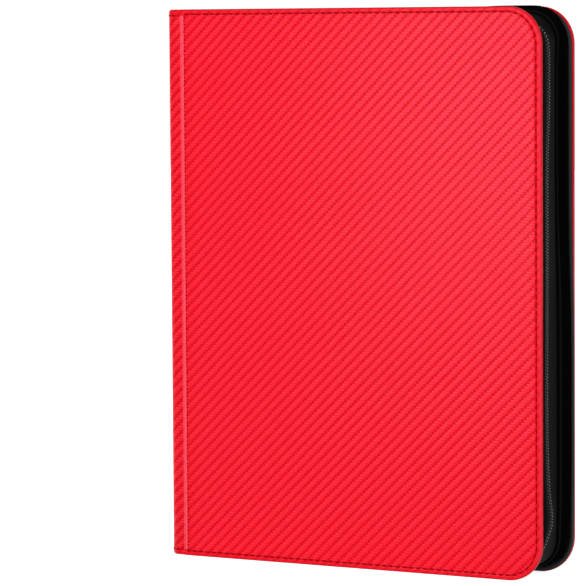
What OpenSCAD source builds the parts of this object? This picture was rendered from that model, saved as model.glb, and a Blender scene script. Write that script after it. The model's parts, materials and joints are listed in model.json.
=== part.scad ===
// Trading card binder with padded covers, a zip round three sides and nine-pocket leaves.
// It stands closed on its foot: +X runs from the spine to the fore-edge, +Y from the front
// cover to the back cover and +Z from foot to head. The origin is at the middle of the foot.
// The spine carries everything: both covers hinge on it, and so does each leaf.

/* [Covers] */
// Width of the closed binder, from the spine's face to the fore-edge
cover_w = 268; // [240:1:300]
// Height of the covers
cover_h = 350; // [335:1:380]
// Depth of the closed binder over both covers
binder_d = 48; // [44:0.5:60]
// Radius of a cover's two fore-edge corners
corner_r = 23; // [16:1:35]
// Rounding of a cover's outer edges
edge_round = 1.2; // [0.6:0.1:1.3]

/* [Cover layers] */
// Thickness of the textured outer skin
skin_t = 0.8; // [0.6:0.1:0.8]
// Thickness of the foam under a panel's skin
pad_t = 0.8; // [0.8:0.1:1.2]
// Thickness of the stiffening boards
board_t = 1.5; // [1.2:0.1:2]
// Thickness of the inner lining
lining_t = 0.4; // [0.3:0.1:0.6]
// Width of skin that wraps a panel's edge, outside the board
edge_band = 2.5; // [2:0.1:4]

/* [Spine and hinges] */
// Outer radius of the soft hinge between the spine and a cover
hinge_r = 7; // [6:0.5:8]
// Gap from a hinge to the nearest board
board_gap = 1.5; // [1:0.1:2]
// Distance from the spine's face to a panel's folded edge
panel_x = 12.2; // [11:0.1:14]
// Width of spine skin that runs on under a panel
lap_w = 3.8; // [2:0.1:5]

/* [Zip] */
// How far the zip lies in from the covers' edges
zip_recess = 5.7; // [5.5:0.1:8]
// Width of one half of the zip's tape
tape_w = 13.5; // [12:0.5:15]
// Thickness of the tape
tape_t = 0.7; // [0.5:0.1:1]
// Distance that the hems of tape and gusset reach in along a cover
turn_in = 6; // [4:0.5:8]
// Thickness of the gusset that joins the zip to the back cover
gusset_t = 1; // [0.8:0.1:1.4]
// Width of the closed chain
chain_w = 6; // [5.6:0.1:7]
// Height of the teeth above the tape
chain_h = 2.2; // [1.8:0.1:2.3]
// Distance from one tooth to the next
tooth_pitch = 2.4; // [2:0.1:3]
// Depth of the gaps between teeth
tooth_depth = 0.8; // [0.5:0.1:1]
// Gap between the two halves of the chain, where the slider's post runs
chain_slot = 1; // [0.9:0.1:1.2]
// Distance from the spine's face to the tapes' ends
tape_x = 16; // [15.8:0.1:20]
// Length of the stop at each end of the chain
stop_l = 1; // [0.8:0.1:1.1]

/* [Slider and pull] */
// Length of the slider
slider_l = 11; // [10.5:0.1:11]
// Thickness of the slider's two plates
plate_t = 1.1; // [0.8:0.1:1.1]
// Thickness of the slider's side flanges
flange_t = 1.1; // [0.8:0.1:1.4]
// Width that the slider flares at its nose, on each side
nose_flare = 0.7; // [0.3:0.1:1]
// Width of the post that joins the two plates
post_w = 0.5; // [0.4:0.1:0.5]
// Height of the bridge that holds the pull
bridge_h = 2; // [1.9:0.1:2.1]
// Width of the bridge
bridge_w = 1.8; // [1.4:0.1:2]
// Thickness of the pull's wire link
wire_d = 0.9; // [0.8:0.05:0.95]
// Distance between the two hinges of the wire link
link_l = 6.9; // [6.8:0.1:9]
// Width of the wire link
link_w = 5.4; // [5.2:0.1:7]
// Length of the pull tab
tab_l = 22; // [16:0.5:28]
// Width of the pull tab
tab_w = 9.6; // [7:0.1:12]
// Thickness of the pull tab
tab_t = 1.7; // [1.6:0.1:1.8]

/* [Leaves] */
// Number of leaves, half of them on each side of the binding
leaf_count = 20; // [20:2:20]
// Thickness of a leaf over its pockets
leaf_t = 1.3; // [0.9:0.05:1.35]
// Thickness of the sheet between the pockets
sheet_t = 0.5; // [0.3:0.05:0.6]
// Gap between a cover's lining and the first leaf
lining_gap = 0.8; // [0.6:0.1:1.2]
// Room between the covers' foot and the leaves
foot_room = 25; // [18:0.5:30]
// Room between the covers' head and the leaves
head_room = 21; // [18:0.5:30]
// Room between the covers' fore-edge and the leaves
fore_room = 19; // [16:0.5:24]
// Distance from the spine's face to the leaves
leaf_x = 16; // [15:0.5:18]
// Width of the plain border round a leaf
leaf_border = 4; // [2:0.5:6]
// Width of the welds between pockets
weld_w = 3; // [2:0.5:4]

/* [Binding] */
// Thickness of the binding block, out from the spine
block_t = 5.3; // [4:0.1:6]
// Width of the binding block
block_w = 8.4; // [7.6:0.1:9]
// Thickness of the margins that hold the leaves
margin_t = 0.3; // [0.2:0.05:0.3]

/* [Hidden] */
RED = "#e8283a";
DARK_RED = "#b3202c";
BLACK = "#1c1c1f";
CHARCOAL = "#2c2c30";
TOOTH_GREY = "#3c3c40";
BOARD_GREY = "#8d8578";
STEEL = "#c9cacd";

clearance = 0.3;                  // between pieces that move past each other
pockets_across = 3;               // pockets along each side of a leaf
corner_steps = 16;                // facets in a quarter turn
bend_steps = 8;                   // facets in a leaf's margin
round_steps = 32;                 // facets in a full turn of the pull's small rounds
tab_steps = 6;                    // facets in a corner of the tab

cover_t = skin_t + pad_t + board_t + lining_t;
outer_y = binder_d / 2;           // outer face of a panel
wrap_y = outer_y - skin_t;        // outer face of the spine skin where it laps a cover
board_y = wrap_y - pad_t;         // outer face of a cover's board
lining_y = board_y - board_t;     // outer face of a cover's lining
inner_y = outer_y - cover_t;      // inner face of a cover

spine_half = wrap_y - hinge_r;    // half the width of the spine's flat
spine_board_half = spine_half - board_gap;
spine_in_x = skin_t + board_t + lining_t;

zip_y = tape_w - inner_y;         // middle of the chain
tape_z = cover_h - zip_recess;    // outer face of the tape at the head
chain_z = tape_z + chain_h;       // top of the teeth at the head
gusset_y = zip_y + tape_w;        // seam between the back tape and the gusset

tooth_l = tooth_pitch / 2;        // length of a tooth along the chain
front_phase = 0.25;               // start of the first tooth of each half, in pitches
back_phase = front_phase + 0.5;
end_x = tape_x - clearance;       // fore-edge side of the pieces that end the zip
stop_x = spine_in_x + 0.2;
slot_x = stop_x + stop_l;         // where the slot between the chain's halves starts

slider_x = slot_x + clearance;
nose_l = slider_l * 0.45;         // length of the slider's wide part
plate_corner = 1;                 // cut off the corners of the slider's plates
plate_z = chain_z + clearance;
bridge_z = plate_z + plate_t;
channel_half = chain_w / 2 + clearance;
slider_half = channel_half + flange_t;
post_x = 0.4;                     // from the slider's nose to its post
post_l = 2.4;

bridge_x = slider_x + 2.2;        // spine side of the bridge
bridge_l = 6;
bridge_leg = 1.1;                 // length of each of the bridge's legs
bridge_t = 0.7;                   // thickness of the bridge over its opening
bridge_corner = 0.6;
bridge_gap = bridge_h - bridge_t; // height of the opening under the bridge
link_x = bridge_x + bridge_l - bridge_leg - bridge_gap / 2;
link_z = bridge_z + bridge_gap / 2;

tab_x = link_x + link_l;
tab_corner = 3;                   // radius of the tab's free corners
eye_d = wire_d + clearance;       // bore of the tab's eye, round the link
neck_w = link_w - 2 * wire_d - 2 * clearance;
neck_l = 3;                       // length of the tab's narrow neck
shoulder_l = 1.5;                 // length over which the neck widens to the tab

block_x = spine_in_x + block_t;
leaf_w = cover_w - fore_room - leaf_x;
leaf_h = cover_h - head_room - foot_room;
leaf_pitch = (2 * (inner_y - lining_gap) - leaf_t) / (leaf_count - 1);
leaf_half = leaf_count / 2;

function leaf_name(i) = str("leaf_", i < 10 ? "0" : "", i);
function leaf_y(i) = (i - 1 - (leaf_count - 1) / 2) * leaf_pitch;

// ---- Helpers ----

function reversed(points) = [for (i = [len(points) - 1 : -1 : 0]) points[i]];

function arc(centre, radius, from, to, steps = corner_steps) =
    [for (i = [0 : steps]) let (a = from + (to - from) * i / steps) centre + radius * [cos(a), sin(a)]];

// A cover's outline from x_start to the fore-edge, taken in by inset on its three free sides
function cover_points(x_start, inset) =
    let (r = corner_r - inset, x = cover_w - corner_r)
    concat(
        [[x_start, inset]],
        arc([x, corner_r], r, -90, 0),
        arc([x, cover_h - corner_r], r, 0, 90),
        [[x_start, cover_h - inset]]
    );

// The same outline as a wall of thickness t, open towards the spine
function wall_points(x_start, inset, t) =
    concat(cover_points(x_start, inset), reversed(cover_points(x_start, inset + t)));

// A drawing in x and z, made solid between two depths
module between(y_low, y_high) {
    translate([0, y_high, 0]) rotate([90, 0, 0]) linear_extrude(y_high - y_low) children();
}

// A drawing in x and y, made solid over the covers' height
module full_height() {
    linear_extrude(cover_h) children();
}

// Moves a model drawn from the spine's face to the frame's origin
module placed() {
    translate([-cover_w / 2, 0, 0]) children();
}

// Turns a piece of the front cover into the back cover's
module to_back() {
    mirror([0, 1, 0]) children();
}

// Turns a piece at the head into the one at the foot
module to_foot() {
    translate([0, 0, cover_h]) mirror([0, 0, 1]) children();
}

// ---- Covers, drawn for the front one ----

// Edge-rounded panel skin, hollowed for the foam and board
module cover_skin() {
    depth = cover_t - lining_t;
    difference() {
        hull() for (a = [0 : 30 : 90]) {
            rise = edge_round * (1 - cos(a));
            between(rise - outer_y, depth - rise - outer_y)
                polygon(cover_points(panel_x, edge_round * (1 - sin(a))));
        }
        between(skin_t - outer_y, cover_t - outer_y) polygon(cover_points(panel_x - 1, edge_band));
    }
}

// The part of the spine's skin that lies flat on a cover, half of it under the panel
module cover_lap() {
    between(-wrap_y, skin_t - wrap_y)
        translate([hinge_r, edge_band]) square([panel_x + lap_w - hinge_r, cover_h - 2 * edge_band]);
    for (z = [0, cover_h - edge_band])
        between(-wrap_y, -lining_y) translate([hinge_r, z]) square([panel_x - hinge_r, edge_band]);
}

module cover_pad() {
    between(-wrap_y, -board_y) polygon(cover_points(panel_x + lap_w, edge_band));
}

module cover_board() {
    between(-board_y, -lining_y) polygon(cover_points(hinge_r + board_gap, edge_band));
}

// Lining that slopes off the board's edge down to the hinge
module lining_slope(rise) {
    polygon([[0, 0], [board_gap, rise], [board_gap, rise + lining_t], [0, lining_t]]);
}

module cover_lining() {
    between(-lining_y, -inner_y) polygon(cover_points(hinge_r + board_gap, edge_round));
    translate([hinge_r, skin_t - wrap_y, edge_band])
        linear_extrude(cover_h - 2 * edge_band) lining_slope(board_y + skin_t - wrap_y + board_t);
}

// ---- Spine and hinges ----

module hinge_layer(radius, t, z_in) {
    centre = [hinge_r, -spine_half];
    translate([0, 0, z_in]) linear_extrude(cover_h - 2 * z_in)
        polygon(concat(arc(centre, radius, 180, 270), reversed(arc(centre, radius - t, 180, 270))));
}

module front_hinge_skin() color(RED) placed() hinge_layer(hinge_r, skin_t, 0);

module front_hinge_lining() color(BLACK) placed() hinge_layer(hinge_r - skin_t, lining_t, edge_band);

module back_hinge_skin() color(RED) placed() to_back() hinge_layer(hinge_r, skin_t, 0);

module back_hinge_lining() color(BLACK) placed() to_back() hinge_layer(hinge_r - skin_t, lining_t, edge_band);

// Spine skin, turned in over the board at head and foot
module spine_skin() color(RED) placed() {
    full_height() translate([0, -spine_half]) square([skin_t, 2 * spine_half]);
    for (z = [0, cover_h - edge_band]) translate([skin_t, -spine_board_half, z])
        cube([board_t, 2 * spine_board_half, edge_band]);
}

module spine_board() color(BOARD_GREY) placed()
    translate([skin_t, -spine_board_half, edge_band])
        cube([board_t, 2 * spine_board_half, cover_h - 2 * edge_band]);

module spine_lining() color(BLACK) placed() {
    translate([skin_t + board_t, -spine_board_half, edge_round])
        cube([lining_t, 2 * spine_board_half, cover_h - 2 * edge_round]);
    for (side = [0, 1]) mirror([0, side, 0]) translate([skin_t, -spine_half, edge_band])
        linear_extrude(cover_h - 2 * edge_band) rotate(90) mirror([0, 1]) lining_slope(board_t);
}

module front_skin() color(RED) placed() cover_skin();
module front_pad() color(CHARCOAL) placed() cover_pad();
module front_board() color(BOARD_GREY) placed() cover_board();
module front_lining() color(BLACK) placed() cover_lining();
module front_lap() color(DARK_RED) placed() cover_lap();

module back_skin() color(RED) placed() to_back() cover_skin();
module back_pad() color(CHARCOAL) placed() to_back() cover_pad();
module back_board() color(BOARD_GREY) placed() to_back() cover_board();
module back_lining() color(BLACK) placed() to_back() cover_lining();
module back_lap() color(DARK_RED) placed() to_back() cover_lap();

// ---- Zip ----

chain_r = corner_r - zip_recess;                   // radius of the tape round a corner
run_x = cover_w - corner_r - tape_x;               // straight length at head and at foot
run_z = cover_h - 2 * corner_r;                    // straight length at the fore-edge
bend_l = chain_r * PI / 2;
chain_l = 2 * run_x + 2 * bend_l + run_z;

// The point at length s along the tape from its foot end, and at height h outside the tape
function chain_point(s, h) =
    let (x = tape_x + run_x, low = corner_r, high = cover_h - corner_r, r = chain_r + h)
    s < run_x ? [tape_x + s, low - r]
    : s < run_x + bend_l ? let (a = -90 + (s - run_x) / bend_l * 90) [x + r * cos(a), low + r * sin(a)]
    : s < run_x + bend_l + run_z ? [x + r, low + s - run_x - bend_l]
    : s < run_x + 2 * bend_l + run_z
        ? let (a = (s - run_x - bend_l - run_z) / bend_l * 90) [x + r * cos(a), high + r * sin(a)]
    : [x - (s - run_x - 2 * bend_l - run_z), high + r];

// One half of the chain: a toothed strip that lies on the tape from y_low to y_high
module chain_half(y_low, y_high, phase) {
    last = floor((chain_l - tooth_l) / tooth_pitch - phase);
    crest = [
        for (i = [0 : last], corner = [[0, 0], [0, 1], [1, 1], [1, 0]])
            chain_point((i + phase) * tooth_pitch + corner[0] * tooth_l,
                        chain_h - tooth_depth + corner[1] * tooth_depth)
    ];
    base = concat(
        [chain_point(0, chain_h - tooth_depth)],
        crest,
        [chain_point(chain_l, chain_h - tooth_depth)]
    );
    between(y_low, y_high) polygon(concat(base, reversed(cover_points(tape_x, zip_recess))));
}

module front_chain() color(TOOTH_GREY) placed()
    chain_half(zip_y - chain_w / 2, zip_y - chain_slot / 2, front_phase);

module back_chain() color(TOOTH_GREY) placed()
    chain_half(zip_y + chain_slot / 2, zip_y + chain_w / 2, back_phase);

module front_tape() color(BLACK) placed()
    between(-inner_y, zip_y - chain_slot / 2) polygon(wall_points(tape_x, zip_recess, tape_t));

module back_tape() color(BLACK) placed()
    between(zip_y + chain_slot / 2, gusset_y) polygon(wall_points(tape_x, zip_recess, tape_t));

module back_gusset() color(BLACK) placed()
    between(gusset_y, inner_y) polygon(wall_points(tape_x, zip_recess, gusset_t));

// The hems are sewn down flat on the covers, and the tape and the gusset stand on their edges
module front_hem() color(BLACK) placed()
    between(-inner_y, tape_t - inner_y)
        polygon(wall_points(tape_x, zip_recess + tape_t, turn_in - tape_t));

module back_hem() color(BLACK) placed()
    between(inner_y - tape_t, inner_y)
        polygon(wall_points(tape_x, zip_recess + gusset_t, turn_in - gusset_t));

// Where a half's first tooth past the slot starts, so that its teeth run on into the chain
function first_tooth(phase) =
    tape_x + (phase - floor((tape_x - slot_x) / tooth_pitch + phase)) * tooth_pitch;

// Piece that closes the head between the covers' gussets, with the last of the chain on it
module zip_end() {
    reach = inner_y - clearance;
    difference() {
        union() {
            translate([spine_in_x, -reach, tape_z - tape_t])
                cube([end_x - spine_in_x, 2 * reach, tape_t]);
            translate([slot_x, zip_y - chain_w / 2, tape_z])
                cube([end_x - slot_x, chain_w, chain_h - tooth_depth]);
            for (half = [[zip_y - chain_w / 2, front_phase], [zip_y, back_phase]])
                for (x = [first_tooth(half[1]) : tooth_pitch : end_x - tooth_l])
                    translate([x, half[0], tape_z]) cube([tooth_l, chain_w / 2, chain_h]);
            translate([spine_in_x, -reach, tape_z - turn_in]) cube([tape_t, 2 * reach, turn_in]);
        }
        translate([slot_x, zip_y - chain_slot / 2, tape_z - tape_t - 1])
            cube([end_x, chain_slot, chain_h + tape_t + 2]);
    }
}

module zip_stop() {
    translate([stop_x, zip_y - chain_w / 2, tape_z]) cube([stop_l, chain_w, chain_h]);
}

module head_zip_end() color(BLACK) placed() zip_end();
module foot_zip_end() color(BLACK) placed() to_foot() zip_end();
module head_stop() color(STEEL) placed() zip_stop();
module foot_stop() color(STEEL) placed() to_foot() zip_stop();

// ---- Slider and pull ----

// Plan of the slider's plates, wider at the nose than at the tail
module slider_plan() {
    wide = slider_half + nose_flare;
    polygon([
        [0, plate_corner - wide], [plate_corner, -wide], [nose_l, -wide],
        [slider_l - plate_corner, -slider_half], [slider_l, plate_corner - slider_half],
        [slider_l, slider_half - plate_corner], [slider_l - plate_corner, slider_half],
        [nose_l, wide], [plate_corner, wide], [0, wide - plate_corner]
    ]);
}

module slider() color(STEEL) placed() {
    low_z = tape_z - tape_t - clearance - plate_t;
    translate([slider_x, zip_y, 0]) {
        for (z = [low_z, plate_z]) translate([0, 0, z]) linear_extrude(plate_t) slider_plan();
        translate([0, 0, tape_z + clearance]) linear_extrude(plate_z - tape_z - clearance)
            difference() {
                slider_plan();
                translate([-1, -channel_half]) square([slider_l + 2, 2 * channel_half]);
            }
        translate([post_x, -post_w / 2, low_z]) cube([post_l, post_w, bridge_z - low_z]);
    }
    translate([0, zip_y + bridge_w / 2, 0]) rotate([90, 0, 0]) linear_extrude(bridge_w)
        difference() {
            translate([bridge_x, bridge_z])
                polygon([[0, 0], [bridge_l, 0], [bridge_l, bridge_h - bridge_corner],
                         [bridge_l - bridge_corner, bridge_h], [bridge_corner, bridge_h],
                         [0, bridge_h - bridge_corner]]);
            translate([bridge_x + bridge_leg, bridge_z]) square([bridge_l - 2 * bridge_leg, bridge_gap]);
        }
}

// Flat wire ring whose two round ends are the pull's hinges
module pull_link() color(STEEL) placed() translate([link_x, zip_y, link_z]) {
    for (x = [0, link_l]) translate([x, link_w / 2, 0]) rotate([90, 0, 0])
        cylinder(d = wire_d, h = link_w, $fn = round_steps);
    for (side = [-1, 1]) translate([0, side * (link_w - wire_d) / 2, 0])
        translate([0, -wire_d / 2, -wire_d / 4]) cube([link_l, wire_d, wire_d / 2]);
}

module pull_tab() color(CHARCOAL) placed() translate([tab_x, zip_y, link_z]) {
    corner_x = tab_l - neck_l - tab_corner;
    difference() {
        union() {
            rotate([90, 0, 0]) cylinder(d = tab_t, h = neck_w, center = true, $fn = round_steps);
            translate([0, -neck_w / 2, -tab_t / 2]) cube([neck_l, neck_w, tab_t]);
            translate([neck_l, 0, -tab_t / 2]) linear_extrude(tab_t) polygon(concat(
                [[0, neck_w / 2], [0, -neck_w / 2], [shoulder_l, -tab_w / 2]],
                arc([corner_x, tab_corner - tab_w / 2], tab_corner, -90, 0, tab_steps),
                arc([corner_x, tab_w / 2 - tab_corner], tab_corner, 0, 90, tab_steps),
                [[shoulder_l, tab_w / 2]]
            ));
        }
        rotate([90, 0, 0]) cylinder(d = eye_d, h = 2 * neck_w, center = true, $fn = round_steps);
    }
}

// ---- Leaves and binding ----

module binding_block() color(BLACK) placed()
    translate([spine_in_x, -block_w / 2, foot_room]) cube([block_t, block_w, leaf_h]);

// One leaf's margin: a thin strip that curves from its place in the binding block to the leaf
module margin(i) {
    root = leaf_y(i) / leaf_y(leaf_count) * (block_w - margin_t) / 2;
    curve = [
        for (k = [0 : bend_steps])
            let (u = k / bend_steps, rise = u * u * (3 - 2 * u))
            [block_x + (leaf_x - block_x) * u, root + (leaf_y(i) - root) * rise]
    ];
    half = [0, margin_t / 2];
    translate([0, 0, foot_room]) linear_extrude(leaf_h)
        polygon(concat([for (p = curve) p - half], reversed([for (p = curve) p + half])));
}

module front_margins() color(BLACK) placed() for (i = [1 : leaf_half]) margin(i);

module back_margins() color(BLACK) placed() for (i = [leaf_half + 1 : leaf_count]) margin(i);

// A leaf: a sheet with a square of raised pockets on both faces
module leaf(i) color(CHARCOAL) placed() {
    pocket_w = (leaf_w - 2 * leaf_border - (pockets_across - 1) * weld_w) / pockets_across;
    pocket_h = (leaf_h - 2 * leaf_border - (pockets_across - 1) * weld_w) / pockets_across;
    translate([leaf_x, leaf_y(i), foot_room]) {
        translate([0, -sheet_t / 2, 0]) cube([leaf_w, sheet_t, leaf_h]);
        for (column = [0 : pockets_across - 1], row = [0 : pockets_across - 1])
            translate([
                leaf_border + column * (pocket_w + weld_w),
                -leaf_t / 2,
                leaf_border + row * (pocket_h + weld_w)
            ])
                cube([pocket_w, leaf_t, pocket_h]);
    }
}

front_skin();
front_pad();
front_board();
front_lining();
front_lap();
back_skin();
back_pad();
back_board();
back_lining();
back_lap();
spine_skin();
spine_board();
spine_lining();
front_hinge_skin();
front_hinge_lining();
back_hinge_skin();
back_hinge_lining();
front_tape();
front_hem();
front_chain();
back_tape();
back_chain();
back_gusset();
back_hem();
head_zip_end();
foot_zip_end();
head_stop();
foot_stop();
slider();
pull_link();
pull_tab();
binding_block();
front_margins();
back_margins();
for (i = [1 : leaf_count]) leaf(i);
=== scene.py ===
# %% [markdown]
# # A padded card binder with a zip round three sides
# The binder stands closed on its foot. Two covers and a spine share one wrap of embossed
# imitation leather, a zip on a black tape closes the other three sides, and twenty leaves of
# pockets hang from a block on the spine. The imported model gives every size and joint, and
# this lesson dresses it: each cell says what a piece is and why it is made the way it is.
#
# All lengths are in metres, as Blender's are, and `MM` turns millimetres into them.

import json
import math

import bmesh
import bpy
from mathutils import Matrix, Vector

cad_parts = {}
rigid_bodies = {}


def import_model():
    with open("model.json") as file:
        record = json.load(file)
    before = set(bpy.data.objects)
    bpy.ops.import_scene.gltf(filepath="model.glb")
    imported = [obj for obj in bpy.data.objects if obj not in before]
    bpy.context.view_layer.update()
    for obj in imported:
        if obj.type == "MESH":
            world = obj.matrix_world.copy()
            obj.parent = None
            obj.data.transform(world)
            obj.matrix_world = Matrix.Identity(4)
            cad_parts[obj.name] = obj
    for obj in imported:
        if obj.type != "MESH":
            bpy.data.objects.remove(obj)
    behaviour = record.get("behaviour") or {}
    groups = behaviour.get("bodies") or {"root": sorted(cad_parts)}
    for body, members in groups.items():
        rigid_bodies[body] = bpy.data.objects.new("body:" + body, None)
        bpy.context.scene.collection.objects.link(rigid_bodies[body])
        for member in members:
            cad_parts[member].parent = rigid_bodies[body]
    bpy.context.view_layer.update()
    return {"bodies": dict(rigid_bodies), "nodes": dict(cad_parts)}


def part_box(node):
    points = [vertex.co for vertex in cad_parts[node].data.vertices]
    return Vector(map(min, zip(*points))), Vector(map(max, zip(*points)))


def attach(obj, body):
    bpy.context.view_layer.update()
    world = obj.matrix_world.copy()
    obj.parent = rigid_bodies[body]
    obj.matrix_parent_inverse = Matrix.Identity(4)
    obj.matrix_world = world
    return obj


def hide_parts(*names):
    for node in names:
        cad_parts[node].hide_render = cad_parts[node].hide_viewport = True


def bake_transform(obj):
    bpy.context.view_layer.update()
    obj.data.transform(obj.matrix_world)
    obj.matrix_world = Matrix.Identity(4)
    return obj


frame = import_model()
MM = 0.001
print("nodes in the frame:", len(frame["nodes"]))

# %% Sizes that the frame gives
panel_low, panel_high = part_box("front_skin")
hinge_low, hinge_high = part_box("front_hinge_skin")
gusset_low, gusset_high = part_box("back_gusset")
lap_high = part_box("front_lap")[1]
tape_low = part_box("front_tape")[0]
block_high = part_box("binding_block")[1]

spine_x = hinge_low.x                      # the spine's outer face
fore_x = panel_high.x                      # the fore-edge of the covers
panel_x = panel_low.x                      # folded edge of a panel, beside the spine
height = panel_high.z
outer_y = -panel_low.y                     # outer face of a cover
panel_side_y = -panel_high.y               # where a panel's side meets its inner face
inner_y = gusset_high.y                    # inner face of a cover's lining
wrap_y = -hinge_low.y                      # outer face of the wrap, beside a panel
hinge_r = hinge_high.x - hinge_low.x
spine_half = -hinge_high.y                 # from the spine's middle to where the hinge starts
tape_x = tape_low.x                        # where the zip starts, at the spine
zip_recess = tape_low.z                    # from a cover's edge to the tape of the zip
zip_y = (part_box("front_chain")[0].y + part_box("back_chain")[1].y) / 2

# %% Sizes of the finish
COVERS = ((-1, "front"), (1, "back"))      # the side of each along Y
corner_r = 23 * MM
edge_round = 1.2 * MM
foam_rise = 0.22 * MM                      # of a panel's padded middle
tuck = 0.08 * MM                           # between two layers that lie on each other
skin_t = 0.8 * MM
furrow = 3.2 * MM                          # from a cover's edge to its stitches
seam_inset = 2.4 * MM                      # the same beside the spine
seam_x = panel_x + seam_inset
print(f"covers {fore_x - spine_x:.3f} m wide and {height:.3f} m high")

# %% [markdown]
# ## One node at a time
# A material is a small graph. `add` puts one node in it, sets what it is told, and joins its
# sockets to numbers or to other nodes, so a graph reads from top to bottom like a recipe.
# Colours are written as a printer would, in sRGB hex, and `colour` turns them to linear.

# %% Helpers for materials


def colour(hex_code):
    """Linear RGBA of an sRGB hex colour."""
    parts = [int(hex_code[k:k + 2], 16) / 255 for k in (1, 3, 5)]
    return [p / 12.92 if p <= 0.04045 else ((p + 0.055) / 1.055) ** 2.4 for p in parts] + [1.0]


def add(tree, kind, *values, sockets=None, **settings):
    """Adds a shader node with its settings; a socket takes a number, a colour or a node."""
    made = tree.nodes.new("ShaderNode" + kind)
    for key, value in settings.items():
        setattr(made, key, value)
    for key, value in [*enumerate(values), *(sockets or {}).items()]:
        if isinstance(value, bpy.types.Node):
            value = value.outputs[0]
        if isinstance(value, bpy.types.NodeSocket):
            tree.links.new(value, made.inputs[key])
        else:
            made.inputs[key].default_value = value
    return made


def new_material(name):
    """An empty material and its node tree."""
    made = bpy.data.materials.new(name)
    made.use_nodes = True
    made.node_tree.nodes.clear()
    return made, made.node_tree


# %% [markdown]
# ## Embossed imitation leather
# The wrap is polyurethane leathercloth: a knit backing with a soft skin, passed hot between
# rollers that press a two-by-two twill into it. The floats of a twill step up one cell at a
# time, so raised diagonals with scalloped edges run up to the right. The pattern could be a
# picture, but arithmetic on the cloth's own coordinates stays sharp at every size. Between a
# smooth slope and the stair of its cells lies the scalloped edge, and a modulo repeats it
# every four cells. Beside each dark cell the float that comes out of it catches the light.

# %% Red leathercloth
CLOTH_MAP = "cloth"          # UV map: millimetres along the unrolled wrap and up from the foot
PRESS = "press"              # attribute: how deep the twill is pressed, 1 on the open cloth
PAINTED_LIGHT_ATTR = "painted_light"                # attribute: painted highlight, paler, above 0 and painted shade, darker, below 0
cell_w, cell_h = 1.82, 1.71  # mm
twill_repeat = 4.0           # cells from one ridge to the next
twill_depth = 0.13 * MM
jaggedness = 0.78            # from a smooth slope (0) to the stair of its cells (1)
float_round = 0.09           # what the roundness of each float adds to its ridge
grain_round = 0.22           # what the fine grain adds

leather, tree = new_material("embossed_pu_leathercloth")
cloth = add(tree, "SeparateXYZ", add(tree, "UVMap", uv_map=CLOTH_MAP))
across = add(tree, "Math", cloth.outputs[0], cell_w, operation="DIVIDE")
up = add(tree, "Math", cloth.outputs[1], cell_h, operation="DIVIDE")
column = add(tree, "Math", across, operation="FLOOR")
row = add(tree, "Math", up, operation="FLOOR")
in_column = add(tree, "Math", across, operation="FRACT")
in_row = add(tree, "Math", up, operation="FRACT")
slope = add(tree, "Math", across, up, operation="SUBTRACT")
stair = add(tree, "Math", column, row, operation="SUBTRACT")
jagged = add(tree, "Mix", jaggedness, sockets={2: slope, 3: stair})
phase = add(tree, "Math", jagged, twill_repeat, operation="FLOORED_MODULO")
from_furrow = add(tree, "Math", add(tree, "Math", phase, twill_repeat / 2, operation="SUBTRACT"),
                  operation="ABSOLUTE")
ridge = add(tree, "MapRange", from_furrow, sockets={1: 0.1, 2: 1.15, 3: 0.0, 4: 1.0},
            interpolation_type="SMOOTHSTEP")
column_round, row_round = (
    add(tree, "Math", add(tree, "Math", part, math.pi, operation="MULTIPLY"), operation="SINE")
    for part in (in_column, in_row))
along_row = add(tree, "Math", across, row, operation="SUBTRACT")
along_float = add(tree, "Math", add(tree, "Math", along_row, twill_repeat / 2),
                  twill_repeat, operation="FLOORED_MODULO")
from_crown = add(tree, "Math", add(tree, "Math", along_float, twill_repeat / 2,
                                   operation="SUBTRACT"), operation="ABSOLUTE")
crown = add(tree, "MapRange", from_crown, sockets={1: 0.4, 2: 1.3, 3: 0.45, 4: 0.0},
            interpolation_type="SMOOTHSTEP")
lit_crown = add(tree, "Math", crown, row_round, operation="MULTIPLY")
rounded = add(tree, "Math", column_round, add(tree, "Math", row_round, 2.0, operation="MULTIPLY"))
floats = add(tree, "Math", rounded, float_round, operation="MULTIPLY")
twill = add(tree, "Math", add(tree, "Math", ridge, lit_crown), floats)
press = add(tree, "Attribute", attribute_name=PRESS).outputs["Fac"]
pressed = add(tree, "Math", twill, press, operation="MULTIPLY")
place = add(tree, "TexCoord").outputs["Object"]
grain = add(tree, "TexNoise", sockets={"Vector": place, "Scale": 2600.0, "Detail": 3.0})
grain_h = add(tree, "Math", grain, grain_round, operation="MULTIPLY")
surface = add(tree, "Math", pressed, grain_h)
bump = add(tree, "Bump", sockets={"Strength": 1.0, "Distance": twill_depth, "Height": surface})
blotch = add(tree, "TexNoise", sockets={"Vector": place, "Scale": 14.0, "Detail": 2.0})
centred = add(tree, "Math", twill, 1.0, operation="SUBTRACT")
contrast = add(tree, "Math", centred, press, operation="MULTIPLY")
painted_light_level = add(tree, "Attribute", attribute_name=PAINTED_LIGHT_ATTR).outputs["Fac"]
flat_tone = add(tree, "MapRange", press, sockets={1: 0.0, 2: 1.0, 3: 0.3, 4: 0.5})
depth_tone = add(tree, "Math", add(tree, "Math", contrast, flat_tone), painted_light_level)
tone = add(tree, "Clamp", depth_tone)
# The tone paints light and shade into the colour: painted shade in the twill's furrows, a painted
# highlight on its ridges and lit floats, plus the painted light and shade that the attribute
# carries.
shade = add(tree, "Mix", tone, sockets={6: colour("#e80518"), 7: colour("#ff243e")},
            data_type="RGBA")
drift = add(tree, "MapRange", blotch, sockets={1: 0.3, 2: 0.7, 3: 0.0, 4: 0.2})
drifted = add(tree, "Mix", drift, sockets={6: shade.outputs[2], 7: colour("#f31024")},
              data_type="RGBA")
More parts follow.
